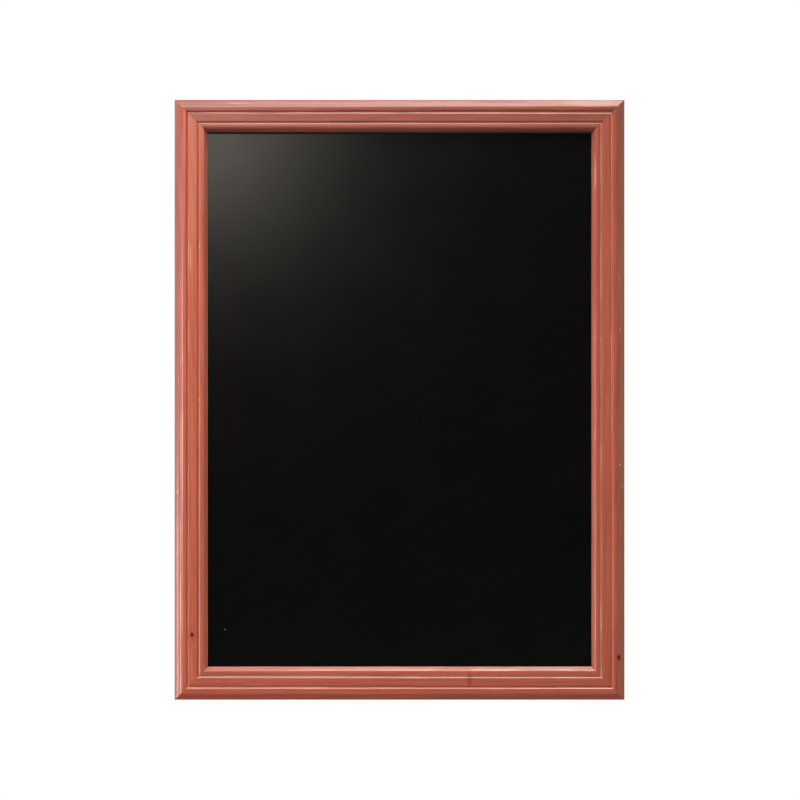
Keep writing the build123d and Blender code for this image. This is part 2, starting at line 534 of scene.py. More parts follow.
@dataclass(frozen=True)
class Stick:
    """What sets one stick of wood apart from the next.

    A member starts where it is met first on the way round the board, clockwise from the
    front: the top one at its left end, the right one at its top.

    Attributes:
        tone: Strength of the colour at the member's start, middle and end.
        pith_height: Millimetres from the frame's back up to the growth rings' centre.
        pith_inset: Its place across the member, in millimetres.
        seed: Seed of every pattern on it.
        slope_sheen_and_shade: Factors on the outer slope's colour at its start and end, which
            paint sheen and shade.
        streaks: Strength of the lengthwise streaks.
        stain_and_shade: How dark the stain and painted shade lie in the grooves, towards their
            shaded walls.
        painted_edge_shadow: How dark the painted shadow line along the panel's edge is.
        lip_highlight: How strong the painted highlight on the grooves' lit lips is at the start,
            middle and end.
        slope_coat: Weight of the lacquer on the outer slope, at its start and end.
        rubs: Other lines of wear, stain, painted highlight and painted shade, the lowest first.
        spots: Spots in the grain.
        knots: The pin knots that show.
        nicks: Dents in the front.
    """

    tone: Span
    pith_height: float
    pith_inset: float
    seed: float
    slope_sheen_and_shade: tuple[Colour, Colour]
    streaks: float = 0.12
    stain_and_shade: float = 0.0
    painted_edge_shadow: float = 0.0
    lip_highlight: Span = (0.0, 0.0, 0.0)
    slope_coat: tuple[float, float] = (0.5, 0.5)
    rubs: tuple[WearAndLightLine, ...] = ()
    spots: tuple[Spot, ...] = ()
    knots: tuple[Knot, ...] = ()
    nicks: tuple[Nick, ...] = ()


# Many lines and spots here paint light: dark lines on groove walls and bevels facing away from the
# light are painted shade, pale lines on lit walls, lips and crests are painted highlights, and
# hazy lines are painted sheen.
STICKS = {
    Side.TOP: Stick(
        (0.59, 0.55, 0.50), -22, 30, 3.1, ((0.70, 0.55, 0.60), (0.94, 0.91, 0.98)),
        # The top rail carries a painted shadow line along its sight edge.
        painted_edge_shadow=1.0, slope_coat=(0.0, 1.0),
        rubs=(WearAndLightLine(3.3, 1.2, (0.0, 0.25, 0.35)), WearAndLightLine(8.8, 2.8, (0.60, 0.30, 0.0), DARK),
              WearAndLightLine(15.4, 1.4, (1.0, 1.0, 1.0), DARK), WearAndLightLine(18.0, 1.3, (0.75, 0.90, 1.0)),
              WearAndLightLine(19.3, 0.8, (0.0, 0.15, 0.40)), WearAndLightLine(29.5, 1.4, (1.0, 1.0, 1.0), DARK),
              WearAndLightLine(31.8, 0.9, (0.25, 0.42, 0.75)), WearAndLightLine(34.2, 1.0, (0.28, 0.30, 0.05), DARK),
              WearAndLightLine(37.9, 1.3, (0.90, 0.65, 0.90), DARK), WearAndLightLine(24.8, 7.0, (0.03, 0.03, 0.06), HAZY),
              WearAndLightLine(36.2, 2.6, (0.0, 0.03, 0.08), HAZY), WearAndLightLine(40.6, 3.0, (0.24, 0.25, 0.55), DARK)),
        # The first spot is painted sheen at the right end of the top rail's slope.
        spots=(Spot(262, 4.4, 62, 7.5, 0.36, HAZY), Spot(-215, 5.2, 26, 1.6, 0.12),
               Spot(237, 24.9, 14, 0.9, 0.5, DARK))),
    Side.RIGHT: Stick(
        (0.65, 0.86, 0.86), -34, 8, 11.7, ((0.90, 1.25, 1.50), (0.90, 1.30, 1.60)),
        streaks=0.10,
        rubs=(WearAndLightLine(39.8, 1.2, (0.0, 0.25, 0.55)), WearAndLightLine(32.3, 1.7, (0.42, 0.45, 0.70)),
              WearAndLightLine(34.3, 1.0, (0.10, 0.15, 0.15), DARK), WearAndLightLine(18.2, 1.0, (0.95, 0.60, 0.15)),
              WearAndLightLine(20.1, 1.0, (0.25, 0.22, 0.15), DARK), WearAndLightLine(11.2, 1.4, (0.30, 0.20, 0.25), DARK),
              WearAndLightLine(42.2, 1.6, (0.10, 0.20, 0.30), HAZY), WearAndLightLine(44.0, 1.6, (0.25, 0.30, 0.45), DARK)),
        spots=(Spot(-300, 39.8, 34, 1.3, 0.35), Spot(-163, 6.9, 2.6, 0.9, 0.45),
               Spot(-93, 6.6, 3.2, 1.0, 0.5), Spot(-83, 39.3, 3.5, 0.9, 0.35),
               Spot(-80, 32.2, 4.0, 0.9, 0.35), Spot(3, 33.3, 10, 0.9, 0.5, DARK),
               Spot(47, 40.1, 12, 1.1, 0.4), Spot(86, 6.9, 1.9, 1.3, 0.9),
               Spot(115, 3.0, 2.6, 1.1, 0.5)),
        knots=(Knot(342.5, 8.3, 16.6, 3.1),)),
    Side.BOTTOM: Stick(
        (0.86, 0.87, 0.90), -18, 52, 23.9, ((0.78, 0.60, 0.45), (0.85, 0.55, 0.35)),
        streaks=0.10, stain_and_shade=0.25, lip_highlight=(0.80, 0.30, 0.05), slope_coat=(0.0, 0.0),
        rubs=(WearAndLightLine(43.2, 2.4, (1.0, 0.55, 0.20), HAZY), WearAndLightLine(40.5, 1.3, (1.0, 0.60, 0.25)),
              WearAndLightLine(32.2, 1.0, (0.15, 0.75, 1.0)), WearAndLightLine(17.6, 0.9, (0.0, 0.45, 0.95)),
              WearAndLightLine(20.1, 0.9, (0.30, 0.40, 0.45), DARK), WearAndLightLine(38.6, 0.9, (0.0, 0.60, 0.35), DARK),
              WearAndLightLine(32.0, 0.9, (0.0, 0.30, 0.75)), WearAndLightLine(30.4, 0.9, (0.0, 0.10, 0.55), DARK),
              WearAndLightLine(30.7, 0.9, (0.55, 0.10, 0.0))),
        spots=(Spot(-93.0, 28.0, 5.4, 17.0, 0.38, DARK),),
        nicks=(Nick(-159, 41.2, 0.55, 4.5, 1.1),)),
    Side.LEFT: Stick(
        (1.04, 0.99, 0.95), -40, 40, 37.3, ((0.80, 0.92, 1.20), (0.68, 0.90, 1.28)),
        stain_and_shade=0.15, lip_highlight=(0.25, 0.25, 0.05),
        rubs=(WearAndLightLine(11.2, 1.3, (0.15, 1.0, 0.0)), WearAndLightLine(11.0, 1.6, (0.0, 0.0, 0.60), DARK),
              WearAndLightLine(24.8, 7.0, (0.0, 0.02, 0.10), HAZY), WearAndLightLine(8.6, 1.2, (0.95, 0.30, 0.0)),
              WearAndLightLine(5.6, 1.1, (0.5, 0.15, 0.0)), WearAndLightLine(2.6, 1.0, (0.25, 0.10, 0.0), DARK),
              WearAndLightLine(19.1, 0.9, (0.25, 0.20, 0.0)), WearAndLightLine(34.0, 1.0, (0.45, 0.20, 0.0)),
              WearAndLightLine(32.5, 1.1, (0.75, 0.50, 0.55), DARK), WearAndLightLine(39.7, 1.2, (0.13, 0.18, 0.22)),
              WearAndLightLine(44.0, 1.1, (0.45, 0.35, 0.25)), WearAndLightLine(39.4, 1.5, (0.10, 0.15, 0.30), HAZY),
              WearAndLightLine(41.8, 2.6, (0.10, 0.10, 0.10), HAZY)),
        spots=(Spot(193, 19.6, 27, 0.9, 0.35), Spot(190, 22.2, 30, 0.9, 0.35),
               Spot(207, 31.8, 5.0, 1.2, 0.6, DARK), Spot(204, 33.6, 6.0, 0.8, 0.4),
               Spot(0, 33.3, 4.0, 0.8, 0.4), Spot(-69, 31.6, 9.0, 1.1, 0.5, DARK),
               Spot(-96, 31.1, 5.0, 1.0, 0.5, DARK), Spot(-122, 4.6, 2.2, 1.4, 0.6)),
        knots=(Knot(-312.6, 24.1, 16.6, 2.8),)),
}


@dataclass(frozen=True)
class StainedWood:
    """Softwood under a red-brown stain and a satin lacquer, with painted highlights, sheen and
    shade along its lines, which are in millimetres.
    """

    early: Colour = (0.545, 0.106, 0.056)
    late: Colour = (0.400, 0.066, 0.034)
    orange: Colour = (0.575, 0.134, 0.062)
    # Dark stain colour, also used as painted shade on shaded groove walls and bevels.
    stain_and_shade: Colour = (0.150, 0.016, 0.006)
    # Near-black painted shadow along the sight edge, where the rail's lip overhangs the panel.
    edge: Colour = (0.020, 0.004, 0.002)
    # Pale worn-wood colour, also used for painted highlights on lit lips, arrises and slopes.
    rubbed: Colour = (0.950, 0.540, 0.430)
    # Greyish white for painted sheen on the lacquer.
    hazy: Colour = (0.520, 0.330, 0.280)
    knot: Colour = (0.140, 0.005, 0.001)
    bare: Colour = (0.520, 0.300, 0.160)
    roughness: float = 0.42
    coat: float = 0.50
    coat_roughness: float = 0.24
    ring_share: float = 0.40
    orange_share: float = 0.45
    fibre_tones: tuple[float, float] = (0.91, 1.09)
    fleck_tone: float = 0.84
    halo_share: float = 0.35
    core_share: float = 0.97
    fade_depth: float = 0.5
    relief: float = 0.05 * MM
    bare_height: tuple[float, float] = (0.5 * MM, 0.1 * MM)
    grooves: tuple[float, float] = (17.7, 31.7)
    slope: tuple[float, float] = (10.4, 7.8)
    sight_edge: float = 44.2
    edge_shadow_half_width: float = 2.4
    stain_and_shade_offset: float = 0.7
    stain_and_shade_half_width: float = 1.5
    lip_offset: float = 1.4
    lip_half_width: float = 0.9

    def material(self, side: Side, board: Board) -> bpy.types.Material:
        """Material of the member on one side, its grain running along it.

        Args:
            side: The member's side.
            board: The board's shared sizes.

        Returns:
            The material.
        """
        stick, half = STICKS[side], board.length(side) / 2
        g = Material("wood_" + side.label, Specular_IOR_Level=0.4,
                     Coat_Roughness=self.coat_roughness)
        place = g.out("Mapping", g.coords, (0.0, board.frame_back, board.reach(side)),
                      (0.0, side.turn, 0.0), (1.0, -1.0, -1.0))
        along, height, inset = g.parts(place)
        knots = [g.place("pin_knot", Vector=place, Radius=knot.radius * MM,
                         Centre=(knot.along * MM, knot.height * MM, knot.inset * MM),
                         Seed=stick.seed) for knot in stick.knots]
        grain = g.place("lengthwise_grain", Vector=place, Pith_Height=stick.pith_height * MM,
                        Pith_Inset=stick.pith_inset * MM, Seed=stick.seed,
                        Bend=g.plus(0.0, *(knot["Bend"] for knot in knots)))

        span = partial(self._span, g, along, half)
        colour = g.cover(self.early, (self.late, grain["Rings"], self.ring_share),
                         (self.orange, grain["Broad"], self.orange_share))
        shades = (("Fibre", *self.fibre_tones),
                  ("Streaks", 1 - stick.streaks, 1 + stick.streaks),
                  ("Flecks", 1.0, self.fleck_tone))
        tone = g.times(span(stick.tone), *(g.linear(grain[name], 0.0, 1.0, low, high)
                                           for name, low, high in shades))
        colour = g.vector("SCALE", colour, tone)
        slope = g.smooth(inset, *(limit * MM for limit in self.slope))
        way = g.linear(along, -half, half)
        # Painted sheen and shade: the outer slope's colour is tinted greyer or darker, per member
        # and along it.
        colour = g.mix(slope, colour, g.mix(way, *stick.slope_sheen_and_shade), "MULTIPLY")
        colour = g.cover(colour, *self._lines(g, side, place, span, grain["Fades"]))
        gloss = g.linear(slope, 0.0, 1.0, self.coat, g.linear(way, 0.0, 1.0, *stick.slope_coat))
        relief = g.minus(g.plus(grain["Fibre"], g.times(grain["Rings"], -0.6)), grain["Flecks"])
        for knot in knots:
            colour = g.cover(colour, (self.late, knot["Halo"], self.halo_share),
                             (self.knot, knot["Core"], self.core_share))
            gloss = g.times(gloss, g.minus(1.0, knot["Core"]))
            relief = g.minus(relief, g.times(knot["Core"], 2.0))

        saw = g.mask("rub_marks", Vector=place, Stretch=(330.0, 8.0, 30.0), Least=0.5,
                     Softness=0.3, Seed=stick.seed)
        bare = g.times(g.smooth(height, *self.bare_height, 0.0, 0.55), g.minus(
            g.plus(0.80, g.times(saw, 0.15)), g.times(grain["Rings"], 0.45)))
        rough = g.plus(self.roughness, g.times(grain["Fibre"], 0.10), g.times(bare, 0.5))
        g.set(Base_Color=g.mix(bare, colour, self.bare), Roughness=rough, Coat_Weight=gloss)
        g.bump(relief, self.relief, 0.45)
        return g.data

    @staticmethod
    def _span(g: Graph, along: Socket, half: float, values: Span) -> Socket:
        """A value that changes evenly from a member's start to its middle and its end."""
        return g.plus(g.linear(along, -half, 0.0, *values[:2]),
                      g.linear(along, 0.0, half, 0.0, values[2] - values[1]))

    def _lines(self, g: Graph, side: Side, place: Socket, span: Callable[[Span], Socket],
               fades: Socket) -> list[tuple[Feed, Feed, Feed]]:
        """Stain and painted shade in the grooves, painted highlights on their lips, a painted
        shadow along the sight edge, other lines, and spots in the grain.

        Args:
            g: The material's graph.
            side: The member's side.
            place: Place in the member.
            span: Gives a value that changes along the member.
            fades: Stretches where a worn or painted-light line fades.

        Returns:
            The colour, mask and strength of each.
        """
        stick = STICKS[side]
        shaded = 1 if side in (Side.RIGHT, Side.BOTTOM) else -1
        looks = {PALE: self.rubbed, HAZY: self.hazy, DARK: self.stain_and_shade}
        # Stain with painted shade in each groove, set towards its shaded wall.
        lines = [(groove + shaded * self.stain_and_shade_offset, self.stain_and_shade_half_width, 0.0, self.stain_and_shade,
                  stick.stain_and_shade) for groove in self.grooves]
        # Painted shadow line along the sight edge, on members that have one.
        lines.append((self.sight_edge, self.edge_shadow_half_width, 0.0, self.edge, stick.painted_edge_shadow))
        lines = [line for line in lines if line[-1]]
        # Painted highlight on the lip of each groove's lit wall.
        lips = [WearAndLightLine(groove - shaded * self.lip_offset, self.lip_half_width, stick.lip_highlight)
                for groove in self.grooves if any(stick.lip_highlight)]
        faded = g.times(fades, self.fade_depth)
        lines += [(wear_and_light_line.inset, wear_and_light_line.half_width, faded, looks[wear_and_light_line.mark], span(wear_and_light_line.strength))
                  for wear_and_light_line in (*lips, *stick.rubs)]
        layers = [(stain, g.mask("lengthwise_line", Vector=place, Inset=inset * MM,
                                 Half_Width=half_width * MM, Fade=fade), strength)
                  for inset, half_width, fade, stain, strength in lines]
        for spot in stick.spots:
            closeness = (1 / (spot.half_length * MM), 0.0, 1 / (spot.half_width * MM))
            layers.append((looks[spot.mark], g.mask(
                "grain_spot", Vector=place, Centre=(spot.along * MM, 0.0, spot.inset * MM),
                Closeness=closeness), spot.strength))
        return layers


@dataclass(frozen=True)
class ChalkLaminate:
    """Hard black laminate with a low sheen, a little handled."""

    black: Colour = (0.0027, 0.0027, 0.0026)
    scuff: Colour = (0.012, 0.012, 0.012)
    chip: Colour = (0.20, 0.20, 0.19)
    roughness: float = 0.212
    grit: float = 0.01 * MM
    chip_place: Point = (-0.2331, -0.011, -0.3065)
    chip_closeness: Point = (700.0, 0.0, 1600.0)
    sight_top: float = 356 * MM
    dull_strip: float = 1.5 * MM

    def material(self) -> bpy.types.Material:
        """Material of the writing face.

        Returns:
            The material.
        """
        g = Material("chalk_laminate")
        place = g.coords
        mottle = g.minus(g.noise(place, 14.0, 3.0, 0.6), 0.5)
        wipes = g.mask("rub_marks", Vector=place, Turn=(0.0, 0.5, 0.0),
                       Stretch=(9.0, 60.0, 160.0), Least=0.5, Softness=0.25)
        specks = g.mask("specks", Vector=place, Scale=900.0, Least=0.7, Softness=0.05)
        chip = g.smooth(g.reach(place, self.chip_place, self.chip_closeness), 1.0, 0.5)
        colour = g.cover(self.black, (self.scuff, wipes, 0.10), (self.scuff, specks, 0.25))
        dull = g.smooth(g.parts(place)[2], self.sight_top - self.dull_strip,
                        self.sight_top - 0.6 * self.dull_strip)
        rough = g.plus(self.roughness, g.times(mottle, 0.06), g.times(wipes, 0.015),
                       g.times(dull, 0.6))
        g.set(Base_Color=g.mix(chip, colour, self.chip), Roughness=rough)
        g.bump(g.noise(place, 2600.0), self.grit, 0.25)
        return g.data


@dataclass(frozen=True)
class Hardboard:
    """Pressed brown fibreboard, its back printed by the press screen."""

    brown: Colour = (0.205, 0.105, 0.052)
    pale: Colour = (0.330, 0.190, 0.100)
    dark: Colour = (0.085, 0.040, 0.020)
    roughness: float = 0.72
    relief: float = 0.12 * MM
    screen_pitch: float = 1.3 * MM
    fibre_turns: tuple[float, ...] = (0.4, 1.5, 2.6)

    def material(self) -> bpy.types.Material:
        """Material of the stiff panel behind the writing face.

        Returns:
            The material.
        """
        g = Material("hardboard", Specular_IOR_Level=0.25)
        place = g.coords
        waves = [g.math("SINE", g.times(g.parts(place)[axis], math.tau / self.screen_pitch))
                 for axis in (0, 2)]
        screen = g.times(*(g.plus(0.5, g.times(wave, 0.5)) for wave in waves))
        felt = reduce(partial(g.math, "MAXIMUM"), [
            g.mask("rub_marks", Vector=place, Turn=(0.0, turn, 0.0), Seed=turn,
                   Stretch=(120.0, 120.0, 900.0), Least=0.48, Softness=0.2)
            for turn in self.fibre_turns])
        chips = g.mask("specks", Vector=place, Scale=420.0, Least=0.6, Softness=0.08)
        cloud = g.linear(g.noise(place, 9.0, 3.0), 0.35, 0.65)
        colour = g.cover(self.brown, (self.pale, felt, 0.5), (self.dark, chips, 0.6),
                         (self.dark, cloud, 0.18), (self.dark, screen, 0.35))
        g.set(Base_Color=colour, Roughness=g.plus(self.roughness, g.times(felt, 0.14)))
        g.bump(g.minus(g.times(felt, 0.35), screen), self.relief, 0.7)
        return g.data


@dataclass(frozen=True)
class PlatedMetal:
    """Steel, bare or plated.

    Attributes:
        slot: The metal's slot, whose name the material takes.
        metal: Main colour.
        worn: Colour along rubbed edges.
        stain: Colour of oxide or white bloom.
        stain_share: How far the stain covers the metal.
        roughness: Roughness between the marks.
        relief: Depth of the rolled or drawn lines.
    """

    slot: Slot
    metal: Colour
    worn: Colour
    stain: Colour
    stain_share: float
    roughness: float
    relief: float = 0.02 * MM

    def material(self) -> bpy.types.Material:
        """The metal's material.

        Returns:
            The material.
        """
        g = Material(self.slot.value)
        place = g.coords
        lines = g.mask("rub_marks", Vector=place, Stretch=(160.0, 2600.0, 2600.0),
                       Least=0.4, Softness=0.25)
        bloom = g.mask("specks", Vector=place, Scale=520.0, Least=0.5, Softness=0.12)
        wear = g.mask("edge_wear", Vector=place)
        colour = g.cover(self.metal, (self.worn, lines, 0.12),
                         (self.stain, bloom, self.stain_share), (self.worn, wear, 0.6))
        stain = g.times(bloom, self.stain_share)
        rough = g.plus(self.roughness, g.times(lines, 0.10), g.times(stain, 0.3))
        g.set(Base_Color=colour, Metallic=g.minus(1.0, g.times(stain, 0.7)),
              Roughness=g.minus(rough, g.times(wear, 0.08)))
        g.bump(lines, self.relief, 0.3)
        return g.data


@dataclass(frozen=True)
class Rubber:
    """Matt moulded rubber with a little bloom and lint."""

    base: Colour = (0.030, 0.030, 0.032)
    bloom: Colour = (0.085, 0.083, 0.080)
    roughness: float = 0.68
    relief: float = 0.03 * MM

    def material(self) -> bpy.types.Material:
        """Material of the wall bumpers.

        Returns:
            The material.
        """
        g = Material("bumper_rubber", Specular_IOR_Level=0.35)
        place = g.coords
        dust = g.mask("specks", Vector=place, Scale=1500.0, Least=0.55, Softness=0.15)
        cloud = g.linear(g.noise(place, 220.0), 0.35, 0.7)
        wear = g.mask("edge_wear", Vector=place, Break_Up=600.0)
        dust, cloud, wear = (g.times(mask, 0.3) for mask in (dust, cloud, wear))
        bloom = g.math("ADD", g.plus(dust, cloud), wear, clamp=True)
        g.set(Base_Color=g.mix(bloom, self.base, self.bloom),
              Roughness=g.plus(self.roughness, g.times(bloom, 0.2)))
        g.bump(g.noise(place, 3500.0), self.relief, 0.5)
        return g.data


BRIGHT_STEEL = PlatedMetal(Slot.BRIGHT_STEEL, (0.50, 0.51, 0.53), (0.70, 0.71, 0.72),
                           (0.16, 0.08, 0.04), 0.30, 0.32)
ZINC_STEEL = PlatedMetal(Slot.ZINC_STEEL, (0.60, 0.62, 0.65), (0.80, 0.81, 0.82),
                         (0.42, 0.43, 0.44), 0.45, 0.30)
YELLOW_ZINC = PlatedMetal(Slot.ZINC_SCREWS, (0.66, 0.52, 0.27), (0.74, 0.70, 0.60),
                          (0.48, 0.40, 0.28), 0.35, 0.30)


@dataclass(frozen=True)
class Bend:
    """One corner of an outline in a plane, with the radius that rounds it."""

    across: float
    up: float
    radius: float = 0.0


def rounded(corners: Sequence[Bend], step: float = math.radians(14)) -> Outline:
    """Closed outline with its corners rounded by arcs.

    Args:
        corners: The corners in order.
        step: Largest angle that one straight piece of an arc turns.

    Returns:
        The points of the rounded outline.
    """
    points: Outline = []
    for number, corner in enumerate(corners):
        here = Vector((corner.across, corner.up))
        before, after = corners[number - 1], corners[(number + 1) % len(corners)]
        back = (Vector((before.across, before.up)) - here).normalized()
        ahead = (Vector((after.across, after.up)) - here).normalized()
        turn = math.pi - back.angle(ahead)
        if corner.radius == 0:
            points.append(tuple(here))
            continue
        tangent = corner.radius * math.tan(turn / 2)
        centre = here + (back + ahead).normalized() * corner.radius / math.cos(turn / 2)
        first, last = here + back * tangent - centre, here + ahead * tangent - centre
        count = max(2, math.ceil(turn / step))
        spin = math.copysign(turn, first.x * last.y - first.y * last.x)
        for place in range(count + 1):
            angle = spin * place / count
            cos, sin = math.cos(angle), math.sin(angle)
            points.append((centre.x + first.x * cos - first.y * sin,
                           centre.y + first.x * sin + first.y * cos))
    return points


def extrude(made: Mesh, prism: Prism, place: Matrix) -> None:
    """Add a straight solid to a mesh.

    Args:
        made: The mesh.
        prism: The solid's outline in X and Z, and the Y of both ends.
        place: Where the solid goes.
    """
    outline, *levels = prism
    low, high = ([made.verts.new(place @ Vector((x, level, z))) for x, z in outline]
                 for level in levels)
    for corners in zip(low, low[1:] + low[:1], high[1:] + high[:1], high):
        made.faces.new(corners)
    for ring in (low, high):
        made.faces.new(ring)


def linked(name: str, data: bpy.types.ID) -> Thing:
    """New object in the scene.

    Args:
        name: The object's name.
        data: Its mesh, lamp or camera.

    Returns:
        The object.
    """
    thing = bpy.data.objects.new(name, data)
    bpy.context.scene.collection.objects.link(thing)
    return thing


def piece(name: str, made: Mesh) -> Thing:
    """Object in the scene from a mesh under construction, which is freed.

    Args:
        name: The object's name.
        made: The mesh.

    Returns:
        The object.
    """
    mesh = bpy.data.meshes.new(name)
    made.to_mesh(mesh)
    made.free()
    return linked(name, mesh)


def finished(thing: Thing, material: bpy.types.Material) -> None:
    """Give an object one material in all its slots.

    Args:
        thing: The object.
        material: The material.
    """
    for slot in thing.material_slots:
        slot.material = material
    if not thing.material_slots:
        thing.data.materials.append(material)


@dataclass
class Moulding:
    """One mitred frame member, swept along its side of the board."""

    side: Side
    board: Board
    section: tuple[Bend, ...] = (
        Bend(0.0, 0.0, 0.6), Bend(0.0, 8.6, 3.0), Bend(3.5, 14.1, 10.0),
        Bend(10.5, 17.75, 4.5), Bend(15.7, 17.7, 0.8), Bend(17.7, 15.3, 0.25),
        Bend(19.5, 16.6, 0.5), Bend(29.9, 16.6, 0.5), Bend(31.7, 15.3, 0.25),
        Bend(33.5, 16.6, 0.5), Bend(36.25, 16.9, 2.0), Bend(39.0, 16.6, 0.9),
        Bend(44.0, 8.0, 0.4), Bend(44.0, 6.0), Bend(36.0, 6.0), Bend(36.0, 0.0),
    )
    station_spacing: float = 8 * MM
    dent_spacing: float = 0.5 * MM
    dent_run: float = 1.5
    dent_limit: float = 6.0
    dent_falloff: float = 1.4
    front_height: float = 7 * MM
    longest_chord: float = 3.0 * MM
    mitre_gap: float = 0.25 * MM
    mitre_ease: float = 0.12 * MM

    def outline(self) -> Outline:
        """The section in metres, its long straight runs divided.

        Returns:
            Its points, clockwise.
        """
        points = rounded([Bend(b.across * MM, b.up * MM, b.radius * MM) for b in self.section])
        divided: Outline = []
        for start, end in zip(points, points[1:] + points[:1]):
            parts = max(1, math.ceil(math.dist(start, end) / self.longest_chord))
            divided += [(start[0] + (end[0] - start[0]) * part / parts,
                         start[1] + (end[1] - start[1]) * part / parts)
                        for part in range(parts)]
        return divided

    def stations(self) -> list[float]:
        """Places of the cross-sections between the mitres, close together at dents.

        Returns:
            The places as shares of the half length.
        """
        half = self.board.length(self.side) / 2
        count = round(half / self.station_spacing)
        shares = {place / count for place in range(-count + 1, count)}
        for nick in STICKS[self.side].nicks:
            run = half - nick.inset * MM
            steps = math.ceil(self.dent_run * nick.length * MM / self.dent_spacing)
            shares |= {(nick.along * MM + place * self.dent_spacing) / run
                       for place in range(-steps, steps + 1)}
        return sorted(shares)

    def build(self) -> Thing:
        """Sweep the section from mitre to mitre.

        Returns:
            The member, on its side of the board.
        """
        outline = self.outline()
        reach, half = self.board.reach(self.side), self.board.length(self.side) / 2
        normals = self._normals(outline)
        made = bmesh.new()
        rows = []
        # At 1 the section stands just short of the mitre, and at 2 on it, eased inwards.
        for share in (-2.0, -1.0, *self.stations(), 1.0, 2.0):
            row = []
            for (inset, height), normal in zip(outline, normals):
                along = share * (half - inset)
                if abs(share) == 1.0:
                    along = math.copysign(half - inset - self.mitre_gap, share)
                elif abs(share) == 2.0:
                    inset -= normal[0] * self.mitre_ease
                    height -= normal[1] * self.mitre_ease
                    along = math.copysign(half - inset, share)
                height -= self._dent(along, inset, height)
                row.append(made.verts.new((along, self.board.frame_back - height, reach - inset)))
            rows.append(row)
        for one, two in zip(rows, rows[1:]):
            for place in range(len(outline)):
                after = (place + 1) % len(outline)
                made.faces.new((one[place], one[after], two[after], two[place]))
        made.faces.new(rows[0])
        made.faces.new(rows[-1])
        bmesh.ops.recalc_face_normals(made, faces=made.faces)
        made.transform(Matrix.Rotation(self.side.turn, 4, "Y"))
        return piece("moulding_" + self.side.label, made)

    def _dent(self, along: float, inset: float, height: float) -> float:
        """How far a point of the front is pressed in.

        Args:
            along: The point's place along the member.
            inset: Its place across.
            height: Its height above the frame's back.

        Returns:
            The depth.
        """
        depth = 0.0
        for nick in STICKS[self.side].nicks:
            near = ((along - nick.along * MM) / (nick.length * MM)) ** 2
            near += ((inset - nick.inset * MM) / (nick.width * MM)) ** 2
            if height > self.front_height and near < self.dent_limit:
                depth += nick.depth * MM * math.exp(-near * self.dent_falloff)
        return depth

    @staticmethod
    def _normals(outline: Outline) -> Outline:
        """Outward normal at each point of an outline.

        Args:
            outline: The outline, which runs clockwise.

        Returns:
            The normals.
        """
        normals = []
        for number, _ in enumerate(outline):
            before, after = outline[number - 1], outline[(number + 1) % len(outline)]
            run = Vector((after[0] - before[0], after[1] - before[1])).normalized()
            normals.append((-run.y, run.x))
        return normals


@dataclass
class Part:
    """A sub-assembly of the board, over CAD nodes.

    Attributes:
        nodes: All CAD nodes by name.
    """

    nodes: dict[str, Thing]

    def dress(self, names: Sequence[str], material: bpy.types.Material, slot: Slot) -> None:
        """Give some nodes their finish.

        Args:
            names: The nodes' names.
            material: The finish's material.
            slot: Its slot.
        """
        for name in names:
            finished(self.nodes[name], material)
            log.info("%s: %s", name, slot.value)


